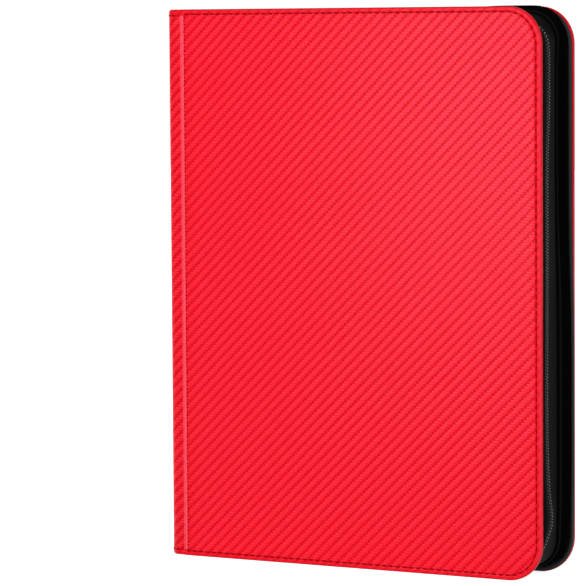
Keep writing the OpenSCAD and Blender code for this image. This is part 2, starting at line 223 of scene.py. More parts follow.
# Painted highlight: above 0 the attribute mixes the colour towards a paler pink. Painted shade: a
# low tone mixes it towards a deep maroon, in the furrows and in the darkest twill cells of the
# wrap.
painted_highlight = add(tree, "Clamp", painted_light_level)
highlit_colour = add(tree, "Mix", painted_highlight, sockets={6: drifted.outputs[2], 7: colour("#ff4c60")},
            data_type="RGBA")
painted_shade = add(tree, "MapRange", depth_tone, sockets={1: -0.6, 2: -1.9, 3: 0.0, 4: 1.0})
skin_colour = add(tree, "Mix", painted_shade, sockets={6: highlit_colour.outputs[2], 7: colour("#8c000a")},
                  data_type="RGBA")
shine = add(tree, "MapRange", tone, sockets={1: 0.0, 2: 1.0, 3: 0.045, 4: 0.115})
gloss = add(tree, "MapRange", grain, sockets={1: 0.3, 2: 0.7, 3: 0.18, 4: 0.29})
shader = add(tree, "BsdfPrincipled", sockets={
    "Base Color": skin_colour.outputs[2], "Roughness": gloss, "Normal": bump,
    "Specular IOR Level": shine})
add(tree, "OutputMaterial", shader)
print("ridges every", round(twill_repeat * math.hypot(cell_w, cell_h) / 2, 2), "mm")

# %% [markdown]
# ## Thread, lining, tape and gusset cloth
# Everything else that is sewn is woven or twisted. Thread is bonded polyester, with a slight
# shine from its twist; the thread that holds the coil is pale grey as a painted glint. The lining
# is a plain polyester, glued flat. The zip tape is a coarser polyester, and the gusset and its
# welt are a dense nylon that drinks the light, the welt a little lighter as a painted highlight
# beside the seam. The binding is a ribbed grosgrain whose grey is a painted highlight on the
# cover's black edge. From where a binder is looked at, real yarns can't be told apart, so each
# weave is drawn a little coarser than life, at the spacing given.

# %% Textiles


def woven(name, hex_dark, hex_light, spacing, roughness, depth, specular):
    """Plain woven cloth: two crossed waves that make its yarns, with fuzz from a noise."""
    made, tree = new_material(name)
    place = add(tree, "TexCoord").outputs["Object"]
    split = add(tree, "SeparateXYZ", place)
    thread_turn = 2 * math.pi / (spacing * MM)
    flat_way = add(tree, "Math", split.outputs[0], split.outputs[1])
    warp_wave = add(tree, "Math", add(tree, "Math", flat_way, thread_turn, operation="MULTIPLY"),
                    operation="SINE")
    weft_wave = add(tree, "Math", add(tree, "Math", split.outputs[2], thread_turn,
                                      operation="MULTIPLY"), operation="SINE")
    crossing = add(tree, "Math", warp_wave, weft_wave, operation="MULTIPLY")
    fuzz = add(tree, "TexNoise", sockets={"Vector": place, "Scale": 900.0, "Detail": 4.0})
    cloth_h = add(tree, "Math", crossing, fuzz)
    tint = add(tree, "MapRange", cloth_h, sockets={1: -0.5, 2: 1.5, 3: 0.0, 4: 1.0})
    dye = add(tree, "Mix", tint, sockets={6: colour(hex_dark), 7: colour(hex_light)},
              data_type="RGBA")
    bump = add(tree, "Bump", sockets={"Strength": 0.8, "Distance": depth * MM,
                                      "Height": cloth_h})
    shader = add(tree, "BsdfPrincipled", sockets={
        "Base Color": dye.outputs[2], "Roughness": roughness, "Normal": bump,
        "Specular IOR Level": specular})
    add(tree, "OutputMaterial", shader)
    return made


red_thread = woven("bonded_polyester_thread_red", "#94000e", "#b00a1c", 0.5, 0.6, 0.02, 0.02)
pale_glint_thread = woven("bonded_polyester_thread_painted_glints", "#a0a6a6", "#d8dede", 0.5, 0.4, 0.05, 0.3)
black_thread = woven("bonded_polyester_thread_black", "#060607", "#121213", 0.5, 0.5, 0.05, 0.1)
lining_cloth = woven("woven_polyester_lining", "#050506", "#0c0c0d", 0.7, 0.8, 0.06, 0.06)
tape_cloth = woven("polyester_zip_tape", "#040505", "#0a0b0b", 0.9, 0.45, 0.12, 0.05)
gusset_cloth = woven("dense_nylon_gusset", "#040404", "#0a0a0a", 0.6, 0.9, 0.04, 0.0)
welt_highlight_cloth = woven("nylon_seam_welt_painted_highlight", "#070808", "#101111", 0.6, 0.7, 0.04, 0.03)
binding_highlight_cloth = woven("grosgrain_edge_binding_painted_highlight", "#282c2c", "#424848", 0.9, 0.6, 0.12, 0.1)
print("textiles ready")

# %% [markdown]
# ## Nylon, nickel, rubber, film and board
# The coil of the zip is drawn nylon monofilament, black and fairly glossy. Slider and stops
# are zinc castings, tumbled and nickel plated, so they are bright with the finest scratches.
# The pull is a moulded rubber with a stipple. Leaves are polypropylene: black sheet between
# two clear films, and the boards inside the covers are grey pulp board.

# %% Plastics and metal


def moulded(name, hex_code, roughness, grain_scale, grain_depth, **sockets):
    """A moulded or drawn surface: one colour under a fine stipple, with patchy gloss."""
    made, tree = new_material(name)
    place = add(tree, "TexCoord").outputs["Object"]
    stipple = add(tree, "TexNoise", sockets={"Vector": place, "Scale": grain_scale,
                                             "Detail": 3.0})
    bump = add(tree, "Bump", sockets={"Strength": 0.6, "Distance": grain_depth * MM,
                                      "Height": stipple})
    gloss = add(tree, "MapRange", stipple, sockets={1: 0.3, 2: 0.7, 3: roughness - 0.06,
                                                    4: roughness + 0.08})
    shader = add(tree, "BsdfPrincipled", sockets={
        "Base Color": colour(hex_code), "Roughness": gloss, "Normal": bump,
        **{key.replace("_", " "): value for key, value in sockets.items()}})
    add(tree, "OutputMaterial", shader)
    return made


coil_nylon = moulded("drawn_nylon_coil", "#050505", 0.4, 500.0, 0.01, Specular_IOR_Level=0.1)
nickel = moulded("nickel_plated_zinc", "#c9c8c4", 0.22, 700.0, 0.004, Metallic=1.0)
rubber = moulded("moulded_rubber", "#1b1b1c", 0.62, 1500.0, 0.03)
leaf_plastic = moulded("black_polypropylene_sheet", "#101011", 0.42, 900.0, 0.02)
film = moulded("clear_polypropylene_film", "#8f9296", 0.14, 60.0, 0.05, Alpha=0.13)
pulp_board = moulded("grey_pulp_board", "#8d8578", 0.9, 400.0, 0.05)
foam = moulded("polyurethane_foam", "#2c2c30", 0.95, 700.0, 0.2)
print("plastics ready")

# %% [markdown]
# ## From a bmesh to a piece
# Every piece below starts as a bmesh that operators shape. `piece` turns it into an object,
# smooths it, keeps edges sharper than an angle, gives it its material and hides the solids of
# the model that it stands for. The object stays at the origin: its place is in its mesh.

# %% Helpers for pieces


def piece(name, bm, material, stands_for=(), sharp=40):
    """A finished object from a bmesh, at the origin, with faces outwards."""
    mesh = bpy.data.meshes.new(name)
    bm.to_mesh(mesh)
    bm.free()
    mesh.materials.append(material)
    mesh.shade_smooth()
    mesh.set_sharp_from_angle(angle=math.radians(sharp))
    made = bpy.data.objects.new(name, mesh)
    bpy.context.scene.collection.objects.link(made)
    if stands_for:
        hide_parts(*stands_for)
    return made


def verts_of(geom):
    """The vertices in what an operator gives back."""
    return [e for e in geom if isinstance(e, bmesh.types.BMVert)]


def edges_of(geom):
    """The edges in what an operator gives back."""
    return [e for e in geom if isinstance(e, bmesh.types.BMEdge)]


def faces_of(geom):
    """The faces in what an operator gives back."""
    return [e for e in geom if isinstance(e, bmesh.types.BMFace)]


def copy_on(bm, geom, length):
    """Copies some of a mesh and moves the copy on by that length along X."""
    copy = bmesh.ops.duplicate(bm, geom=geom)["geom"]
    bmesh.ops.translate(bm, vec=(length, 0, 0), verts=verts_of(copy))


def repeat(bm, count, step):
    """Repeats what bm holds, count times in all, each copy moved on by step along X."""
    unit = bm.verts[:] + bm.edges[:] + bm.faces[:]
    made = 1
    for digit in f"{count:b}"[1:]:         # each binary digit doubles the row, and a 1 adds one
        copy_on(bm, bm.verts[:] + bm.edges[:] + bm.faces[:], step * made)
        made *= 2
        if digit == "1":
            copy_on(bm, unit, step * made)
            made += 1


def strip(start, end, low, high, length_steps, width_steps):
    """A flat grid from start to end along X and from low to high along Y."""
    bm = bmesh.new()
    bmesh.ops.create_grid(bm, x_segments=length_steps, y_segments=width_steps, size=0.5)
    bmesh.ops.scale(bm, vec=(end - start, high - low, 1), verts=bm.verts)
    bmesh.ops.translate(bm, vec=((start + end) / 2, (low + high) / 2, 0), verts=bm.verts)
    return bm


def extend(bm, vert, step):
    """A new vertex joined to vert by an edge, that step away."""
    grown = bmesh.ops.extrude_vert_indiv(bm, verts=[vert])["verts"]
    bmesh.ops.translate(bm, vec=step, verts=grown)
    return grown[0]


def pull(bm, edges, step):
    """Extrudes a line of edges into a band and returns its far edges, that step away."""
    grown = bmesh.ops.extrude_edge_only(bm, edges=edges)["geom"]
    bmesh.ops.translate(bm, vec=step, verts=verts_of(grown))
    return edges_of(grown)


def thicken(bm, thickness):
    """Gives a sheet its thickness."""
    bmesh.ops.solidify(bm, geom=bm.faces[:], thickness=thickness)


def cut_through(bm, place, way):
    """Cuts every face where a plane through that place, square to way, meets it."""
    bmesh.ops.bisect_plane(bm, geom=bm.verts[:] + bm.edges[:] + bm.faces[:], plane_co=place,
                           plane_no=way)


def share(part):
    """A share of a way, kept between none of it and all of it."""
    return min(1, max(0, part))


# %% [markdown]
# ## One walk round three sides
# Tape, coil, gusset, welt, binding and stitches all follow the cover's outline: along the
# foot, round a corner, up the fore-edge, round the other corner and back along the head. So
# each is made flat and straight, as it comes off its reel, and then bent along this walk.

# %% The walk
quarter = math.pi / 2


def walk(s, inset, start_x):
    """Where a walk at that inset is after length s: x, z, and its heading in radians."""
    r = corner_r - inset
    straight = fore_x - corner_r - start_x
    rise = height - 2 * corner_r
    if s < straight:
        return start_x + s, inset, 0.0
    s -= straight
    if s < r * quarter:
        a = s / r
        return fore_x - corner_r + r * math.sin(a), corner_r - r * math.cos(a), a
    s -= r * quarter
    if s < rise:
        return fore_x - inset, corner_r + s, quarter
    s -= rise
    if s < r * quarter:
        a = s / r
        return fore_x - corner_r + r * math.cos(a), height - corner_r + r * math.sin(a), quarter + a
    s -= r * quarter
    return fore_x - corner_r - s, height - inset, math.pi


def walk_length(inset, start_x):
    """Length of the walk from the spine end of the foot to the spine end of the head."""
    straight = fore_x - corner_r - start_x
    return 2 * straight + (corner_r - inset) * math.pi + height - 2 * corner_r


zip_length = walk_length(zip_recess, tape_x)
print(f"the zip is {zip_length:.3f} m long")

# %% [markdown]
# A real zip is stiffer than the cloth that holds it. It swings wide before it takes a corner,
# cuts the corner itself, and wanders a little on its way up, so soft waves are added where it
# is bent round. Low on the fore-edge and at the head corner the gusset has more cloth than it
# needs and bulges, and up the fore-edge the front tape billows between its seam and the teeth.
# Each wave is one smooth hump, with its middle at a length along the zip.

# %% Bending flat pieces
foot_bend = fore_x - corner_r - tape_x + (corner_r - zip_recess) * quarter
head_bend = zip_length - foot_bend         # from the one to the other is the fore-edge
corner_swing = 1.8 * MM                    # outwards, past the foot corner
corner_cut = 4 * MM                        # inwards, in both corners
corner_slip = 5 * MM                       # forwards, in both corners
edge_drift = 3.4 * MM                      # forwards, up the fore-edge
idle_wave = 0.35 * MM                      # the slight wave of any long zip
idle_length = 31 * MM
end_fade = 40 * MM                         # it dies away this far from both ends
zip_stand = 0.7 * MM                       # how far the teeth stand out everywhere
stiff_reach = 14 * MM                      # how far from the teeth the tape still follows them
head_swell = 6.4 * MM
foot_swell = 6.4 * MM
front_puff = 5 * MM

# the middle of each hump and its reach to both sides
swing_at = (foot_bend + 12 * MM, 12 * MM)
foot_cut_at = (foot_bend - 13.6 * MM, 16 * MM)
head_cut_at = (head_bend + 20 * MM, 12 * MM)
foot_slip_at = (foot_bend - 12 * MM, 16 * MM)
head_slip_at = (head_bend + 22 * MM, 16 * MM)
drift_at = (foot_bend + 143 * MM, 110 * MM)
foot_swell_at = (foot_bend + 85 * MM, 100 * MM)
head_swell_at = (head_bend + 1.5 * (corner_r - zip_recess) * quarter, 40 * MM)


def hump(s, middle, reach, power=2):
    """A smooth hump of height one; a higher power makes its top flatter."""
    return math.exp(-((s - middle) / reach) ** power)


def swing(s):
    """How far outwards the zip swings at length s, less what it cuts off in the corners."""
    cut = hump(s, *foot_cut_at) + hump(s, *head_cut_at)
    return corner_swing * hump(s, *swing_at) - corner_cut * cut


def low_swell(s):
    """How far the cloth behind the zip bulges at length s, low on the fore-edge."""
    return foot_swell * hump(s, *foot_swell_at, power=4)


def swell(s):
    """How far that cloth bulges at length s in all, with its bulge at the head corner."""
    return head_swell * hump(s, *head_swell_at, power=4) + low_swell(s)


def belly(y):
    """How much of the bulge there is at depth y: most of it in the back of the gusset."""
    return math.sin(math.pi * share((y - zip_y) / (inner_y - zip_y)) ** 4)


def billow(y):
    """How much the front tape billows at depth y, from its seam to the teeth."""
    return math.sin(math.pi * share((y + inner_y) / (zip_y + inner_y)) ** 0.8) ** 2


def wander(s):
    """How far back the zip lies at length s; it drifts forwards, most of all in the corners."""
    fade = share(min(s, zip_length - s) / end_fade)
    slip = hump(s, *foot_slip_at) + hump(s, *head_slip_at)
    idle = idle_wave * math.sin(s / idle_length) * fade
    return idle - corner_slip * slip - edge_drift * hump(s, *drift_at, power=8)


def bend_round_zip(bm):
    """Bends what lies flat (X along, Y across, Z out) round the binder's three open sides."""
    for v in bm.verts:
        s, y, out = v.co
        x, z, heading = walk(s, zip_recess, tape_x)
        held = max(0.0, 1 - ((y - zip_y) / stiff_reach) ** 2)
        puff = front_puff * math.sin(heading) * billow(y)
        out += (zip_stand + swing(s)) * held + swell(s) * belly(y) + puff
        v.co = (x + out * math.sin(heading), y + wander(s) * held, z - out * math.cos(heading))


def bend_on_cover(bm, side, face_y, inset, start_x):
    """Lays what lies flat (X along, Y inwards, Z proud) along a cover's edge, at that face."""
    for v in bm.verts:
        s, inwards, proud = v.co
        x, z, heading = walk(s, inset, start_x)
        v.co = (x - inwards * math.sin(heading), side * (face_y + proud),
                z + inwards * math.cos(heading))
    if side > 0:
        bmesh.ops.reverse_faces(bm, faces=bm.faces)


# %% [markdown]
# ## How the wrap lies on its cutting table
# The twill has to run on over the spine and both covers as it does on one cut sheet. So each
# loop of a leathercloth face stores where it lay before the wrap was folded: the distance from
# the spine's middle, to the right for the front and to the left for the back, and the height.

# %% Cloth coordinates


def unrolled(x, y):
    """Distance along the wrap from the middle of the spine, in metres."""
    y = abs(y)
    if x > spine_x + hinge_r:
        return spine_half + hinge_r * quarter + x - spine_x - hinge_r
    if y < spine_half:
        return y
    return spine_half + hinge_r * math.atan2(y - spine_half, spine_x + hinge_r - x)


def lay_cloth(obj, side, face_y, press_at, painted_light_at=None):
    """Writes the cloth map, the emboss and the painted light and shade on a finished leathercloth
    piece.
    """
    mesh = obj.data
    cloth_map = mesh.uv_layers.new(name=CLOTH_MAP)
    press = mesh.attributes.new(PRESS, "FLOAT", "POINT")
    painted_light = mesh.attributes.new(PAINTED_LIGHT_ATTR, "FLOAT", "POINT")
    for v in mesh.vertices:
        press.data[v.index].value = press_at(v.co)
        painted_light.data[v.index].value = painted_light_at(v.co) if painted_light_at else 0.0
    for face in mesh.polygons:
        n = face.normal
        for k in face.loop_indices:
            co = mesh.vertices[mesh.loops[k].vertex_index].co
            turned = max(0.0, face_y - abs(co.y)) if abs(n.y) < 0.95 else 0.0
            u = unrolled(co.x, co.y) + n.x * turned * (co.x > 0)
            cloth_map.data[k].uv = (-side * u / MM, (co.z + n.z * turned) / MM)


def edge_gap(co):
    """Distance of a point on a cover from its outline."""
    x, z = fore_x - co.x, min(co.z, height - co.z)
    if x < corner_r and z < corner_r:
        return corner_r - math.hypot(corner_r - x, corner_r - z)
    return min(x, z)


# %% [markdown]
# ## Cover panels
# Each cover is board and a thin foam under a skin that is turned over the edge and sewn down.
# The outline is one face with two corners bevelled round. Extruding gives it its depth, a
# bevel rolls its rim, and a row of insets draws the section inwards from the rim: a flat hem,
# the furrow that the thread pulls in, and the foam rising behind it. The seam beside the
# spine lies much closer to its edge, so that end of each inset is slid to its own distance.

# %% Panel shape
furrow_depth = 0.36 * MM
# inset from the edge, from the spine edge, and the lift there, in mm
panel_section = [
    (1.5, 1.25, 0.03), (2.4, 1.7, 0.03), (2.85, 2.1, -0.2),
    (furrow / MM, seam_inset / MM, -furrow_depth / MM),
    (3.55, 2.7, -0.2), (4.1, 3.2, 0.02), (6.0, 5.0, 0.14), (9.0, 7.0, 0.22), (12.0, 10.0, 0.22)]
# where the dye changes and a row of vertices is needed: from the spine edge, and past the furrow
seam_cuts = (2.1, 3.2, 12.0)
hem_cuts = (0.5, 1.2)


def panel_outline(bm, y):
    """The cover's outline as one face at depth y, its corners bevelled round."""
    square = [(panel_x, 0), (fore_x, 0), (fore_x, height), (panel_x, height)]
    verts = [bm.verts.new((x, y, z)) for x, z in square]
    bm.faces.new(verts)
    bmesh.ops.bevel(bm, geom=verts[1:3], offset=corner_r, segments=20, profile=0.5,
                    affect="VERTICES", material=-1)
    return bm.faces[:]


def shape_panel():
    """The skin of the front cover."""
    bm = bmesh.new()
    base = panel_outline(bm, panel_high.y)
    top_verts = verts_of(bmesh.ops.extrude_face_region(bm, geom=base)["geom"])
    depth = panel_high.y + outer_y - foam_rise
    bmesh.ops.translate(bm, vec=(0, -depth, 0), verts=top_verts)
    bmesh.ops.recalc_face_normals(bm, faces=bm.faces)
    rim = [e for e in bm.edges if all(v in top_verts for v in e.verts)]
    bmesh.ops.bevel(bm, geom=rim, offset=edge_round, segments=5, profile=0.5,
                    affect="EDGES", material=-1)
    middle = max((f for f in bm.faces if f.normal.y < -0.9), key=lambda f: f.calc_area())
    reached, lift = edge_round / MM, 0.0
    for inset, spine_inset, level in panel_section:
        bmesh.ops.inset_region(bm, faces=[middle], thickness=(inset - reached) * MM,
                               depth=(level - lift) * MM, use_boundary=True,
                               use_even_offset=True)
        spine_end = min(v.co.x for v in middle.verts)
        for v in middle.verts:
            if v.co.x < spine_end + 0.01 * MM:
                v.co.x = panel_x + spine_inset * MM
        reached, lift = inset, level
    for cut in seam_cuts:
        cut_through(bm, (panel_x + cut * MM, 0, 0), (1, 0, 0))
    for cut in hem_cuts:
        cut_through(bm, (0, 0, furrow + cut * MM), (0, 0, 1))
        cut_through(bm, (0, 0, height - furrow - cut * MM), (0, 0, 1))
    return bm


panel_shape = shape_panel()
print("panel faces:", len(panel_shape.faces))

# %% [markdown]
# The emboss is shallow in the turned and stitched edge. Light and shade are painted into the
# colour: a painted highlight on the rounded rim at the fore-edge and on the fold beside the
# spine, and painted shade in the furrow, down the side and in the shadow of the seam beside the
# spine. Down the side at the fore-edge a painted highlight lightens it again, which it doesn't
# at head and foot.

# %% Emboss, painted light and painted shade of the panels
rim_emboss = 0.25                          # of the full emboss, at the edge itself
hem_w = 4.2 * MM                           # how far in the emboss reaches its full depth
# painted shade in the furrow, and its half width
furrow_tone, furrow_half = -1.6, 0.7 * MM
seam_tone, seam_hem_tone = 1.0, 0.2        # painted highlight on the fold beside the spine, and at its two ends
seam_w, seam_fade = 1.5 * MM, 0.6 * MM
shadow_tone, shadow_start, shadow_w = -0.28, 3.2 * MM, 12 * MM
# painted shade down the side, and on the rolled rim at head and foot
side_tone = -2.0
fore_rim_tone = 0.3                        # painted highlight on the rounded rim
fore_side_tone, fore_back_tone = 1.55, 2.15   # painted highlight added down the side, and on its way inside
rim_w, rim_fade = 0.3 * MM, 0.5 * MM
slack = 0.05 * MM                          # when depths are compared


def panel_press(co):
    """How deep the emboss is at a point of a panel."""
    gap = min(edge_gap(co) / hem_w, (co.x - panel_x) / seam_inset)
    return rim_emboss + (1 - rim_emboss) * share(gap) ** 2


def panel_painted_light(co):
    """How much painted highlight (above 0) or painted shade (below 0) a point of a panel gets."""
    gap = edge_gap(co)
    from_spine = co.x - panel_x
    if gap > edge_round:
        seam = share(1 - (from_spine - seam_w) / seam_fade)
        # painted shade in the furrow
        sewn = furrow_tone * share(1 - abs(gap - furrow) / furrow_half)
        past = from_spine - shadow_start
        seam_shadow = shadow_tone * max(0, 1 - past / shadow_w) if past > 0 else 0.0
        return seam * (seam_tone if gap > furrow + seam_fade else seam_hem_tone) + sewn + seam_shadow
    at_fore_edge = share(1 - (fore_x - co.x) / corner_r)
    if abs(co.y) > outer_y - foam_rise - edge_round + slack:
        rolled = share(1 - (gap - rim_w) / rim_fade)
        return fore_rim_tone * at_fore_edge + side_tone * (1 - at_fore_edge) * rolled
    paler = fore_back_tone if abs(co.y) < panel_side_y + slack else fore_side_tone
    return side_tone + paler * at_fore_edge


print("emboss from", rim_emboss, "at the edge to 1 on the panel")

# %% [markdown]
# The back panel is the front one scaled by minus one along Y, with its faces turned round
# again, because such a scale turns them inside out. Both are padded, full and tight.

# %% Both panels


def flip(bm):
    """Turns a piece of the front cover into the back cover's."""
    bmesh.ops.scale(bm, vec=(1, -1, 1), verts=bm.verts)
    bmesh.ops.reverse_faces(bm, faces=bm.faces)


for side, name in COVERS:
    bm = panel_shape.copy()
    if side > 0:
        flip(bm)
    panel = piece(f"{name}_panel", bm, leather, [f"{name}_skin"], sharp=50)
    lay_cloth(panel, side, outer_y - foam_rise, panel_press, panel_painted_light)
    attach(panel, f"{name}_cover")
panel_shape.free()
print("panels made")

# %% [markdown]
# ## The wrap round the spine
# The same cloth runs from under one panel, round a soft hinge, over the spine and back. It
# bends at both hinges, and a piece can bend at one joint only, so it is cut along the middle
# of the spine, where it lies flat and the cut can't be seen. Its section is a vertex that is
# extruded along the spine, spun round the hinge and extruded under the panel; extruding that
# line upwards makes the sheet, and solidify gives it its thickness.

# %% Wrap halves
hem = 3.8 * MM                             # from head and foot to the hem's stitches
hem_levels = [0.0, 0.3, 0.8, 1.6, 3.2, 3.6, 4.0, 4.4, 60.0]   # mm
hem_furrow = 0.2 * MM
end_round = 1.6 * MM                       # the wrap's ends are rolled over by this
rise_cuts = (1.4, 0.8)                     # mm from the panel, where the wrap rises to it
hem_emboss, wrap_emboss = 0.4, 1.3         # in the hems, and between them
hem_tone, hem_line = -1.2, 0.4 * MM        # painted shade in the furrow of the hems
# painted shade all over the wrap, and a painted highlight where it rises to the panel
wrap_shade_tone, rise_tone = -0.35, 0.65


def shape_wrap(start_y, lap_x, face_x, levels):
    """A sheet round the front hinge, from start_y on the spine to lap_x under the panel."""
    bm = bmesh.new()
    centre = (spine_x + hinge_r, -spine_half, levels[0])
    tip = bm.verts.new((face_x, start_y, levels[0]))
    for _ in range(3):
        tip = extend(bm, tip, (0, (-spine_half - start_y) / 3, 0))
    spun = bmesh.ops.spin(bm, geom=[tip], cent=centre, axis=(0, 0, 1), angle=quarter, steps=14,
                          use_merge=False)["geom_last"]
    tip = verts_of(spun)[0]
    for _ in range(2):
        tip = extend(bm, tip, ((lap_x - spine_x - hinge_r) / 2, 0, 0))
    line = bm.edges[:]
    for low, high in zip(levels, levels[1:]):
        line = pull(bm, line, (0, 0, high - low))
    bmesh.ops.recalc_face_normals(bm, faces=bm.faces)
    if sum(f.normal.x for f in bm.faces) > 0:
        bmesh.ops.reverse_faces(bm, faces=bm.faces)
    return bm


def wrap_press(co):
    """The emboss fades in the hems at head and foot."""
    gap = min(co.z, height - co.z) / hem
    return hem_emboss + (wrap_emboss - hem_emboss) * share(gap) ** 2


def bend_at_hinge(obj):
    """Bakes the piece's place into its mesh; it is attached to no body and doesn't bend."""
    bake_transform(obj)


def wrap_painted_light(co):
    """Painted shade all over and in the hem's furrow, and a painted highlight where it rises to the
    panel.
    """
    gap = min(co.z, height - co.z)
    # painted shade in the hem's furrow
    sewn = hem_tone * share(1 - abs(gap - hem) / hem_line)
    start, top = rise_cuts[0] * MM, rise_cuts[1] * MM
    rising = share((co.x - panel_x + start) / (start - top)) if gap > hem else 0.0
    return sewn + rise_tone * rising + wrap_shade_tone * (1 - rising)


levels = [z * MM for z in hem_levels]
levels += [height - z for z in reversed(levels)]
for side, name in COVERS:
    bm = shape_wrap(0.0, lap_high.x, spine_x, levels)
    bm.normal_update()
    for v in bm.verts:
        gap = min(v.co.z, height - v.co.z)
        if abs(gap - hem) < hem_line:
            v.co -= v.normal * hem_furrow
        elif gap < end_round:
            v.co -= v.normal * (end_round - math.sqrt(gap * (2 * end_round - gap)))
    for cut in rise_cuts:
        cut_through(bm, (panel_x - cut * MM, 0, 0), (1, 0, 0))
    thicken(bm, skin_t)
    if side > 0:
        flip(bm)
    half = piece(f"{name}_wrap", bm, leather,
                 [f"{name}_hinge_skin", f"{name}_lap"] + (["spine_skin"] if side < 0 else []),
                 sharp=50)
    lay_cloth(half, side, wrap_y, wrap_press, wrap_painted_light)
    bend_at_hinge(half)
print("wrap made")

# %% [markdown]
# At head and foot the wrap is turned in over the spine's board, so a thicker lip closes each
# end. It is the same section again, a hair inside the wrap.

# %% Turned-in lips
lip = 2.5 * MM
lip_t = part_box("spine_board")[1].x - spine_x
lip_gap = end_round + tuck
lip_emboss = 0.3


def lip_press(co):
    """The emboss is flattened all over a lip, where the cloth is turned in."""
    return lip_emboss


for side, name in COVERS:
    for low, high, end in ((tuck, lip, "foot"), (height - lip, height - tuck, "head")):
        bm = shape_wrap(0.0, lap_high.x, spine_x + lip_gap, [low, high])
        thicken(bm, lip_t - lip_gap)
        if side > 0:
            flip(bm)
        turned = piece(f"{name}_{end}_lip", bm, leather, sharp=50)
        lay_cloth(turned, side, wrap_y, lip_press)
        bend_at_hinge(turned)
print("lips made")

# %% [markdown]
# ## Stitches
# Each stitch is a grain of thread that dips into its holes at both ends. One is made and
# repeated along a straight row, and the row is then laid along a cover's edge, stood beside
# the spine seam or folded round the hinge. On the lining the same seams show black bobbin
# thread.

# %% Stitch rows
stitch_pitch = 4.8 * MM
stitch_l = 3.2 * MM
seam_pitch = 2.4 * MM
thread_w = 1.5 * MM
thread_h = 0.8 * MM
thread_stand = 0.2 * thread_h              # how far a stitch's middle is above its furrow


def stitch_row(length, pitch, grain):
    """A straight row of stitches along X; grain is the length, width and height of one."""
    bm = bmesh.new()
    bmesh.ops.create_uvsphere(bm, u_segments=6, v_segments=5, radius=0.5)
    bmesh.ops.rotate(bm, matrix=Matrix.Rotation(quarter, 3, "Y"), verts=bm.verts)
    bmesh.ops.scale(bm, vec=grain, verts=bm.verts)
    bmesh.ops.translate(bm, vec=(pitch / 2, 0, 0), verts=bm.verts)
    repeat(bm, int(length / pitch), pitch)
    return bm


def stand_on_cover(bm, side, face_y, x, z):
    """Stands what lies flat (X along, Y across, Z proud) upright on a cover, from height z."""
    for v in bm.verts:
        along, across, proud = v.co
        v.co = (x - across, side * (face_y + proud), z + along)
    if side > 0:
        bmesh.ops.reverse_faces(bm, faces=bm.faces)


def fold_round_hinge(bm, side, z):
    """Folds what lies flat (X from the spine's middle, Y up, Z proud) round half the wrap."""
    for v in bm.verts:
        u, rise, proud = v.co
        a = min(max((u - spine_half) / hinge_r, 0), quarter)
        past = max(u - spine_half - hinge_r * quarter, 0)
        r = hinge_r + proud
        v.co = (spine_x + hinge_r - r * math.cos(a) + past,
                side * (min(u, spine_half) + r * math.sin(a)), z + rise)
    if side > 0:
        bmesh.ops.reverse_faces(bm, faces=bm.faces)


grain = (stitch_l, thread_w, thread_h)
seam_grain = (0.6 * seam_pitch, 0.6 * thread_w, thread_h)
edge_length = walk_length(furrow, panel_x)
groove_y = outer_y - foam_rise - furrow_depth
for side, name in COVERS:
    cover = f"{name}_cover"
    bm = stitch_row(edge_length, stitch_pitch, grain)
    bend_on_cover(bm, side, groove_y + thread_stand, furrow, panel_x)
    row = piece(f"{name}_edge_stitches", bm, red_thread)
    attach(row, cover)
    bm = stitch_row(height - 2 * furrow, seam_pitch, seam_grain)
    stand_on_cover(bm, side, groove_y + thread_stand, seam_x, furrow)
    row = piece(f"{name}_seam_stitches", bm, red_thread)
    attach(row, cover)
    bm = stitch_row(edge_length, stitch_pitch, grain)
    bend_on_cover(bm, side, inner_y, furrow, panel_x)
    row = piece(f"{name}_bobbin_stitches", bm, black_thread)
    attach(row, cover)
    for z, end in ((hem, "foot"), (height - hem, "head")):
        bm = stitch_row(unrolled(panel_x, wrap_y), stitch_pitch, grain)
        fold_round_hinge(bm, side, z)
        row = piece(f"{name}_{end}_hem_stitches", bm, red_thread)
        bend_at_hinge(row)
print("stitches sewn")

# %% [markdown]
# ## Linings and edge binding
# A woven lining is glued inside, and at the hinge it is a free sheet that bends with the wrap.
# Round each cover a facing of the same cloth runs out to the edge, and a narrow grosgrain
# binding covers the seam between the two; its grey is a painted highlight on the black edge.
# Where the gusset bulges, it pushes the binding out.

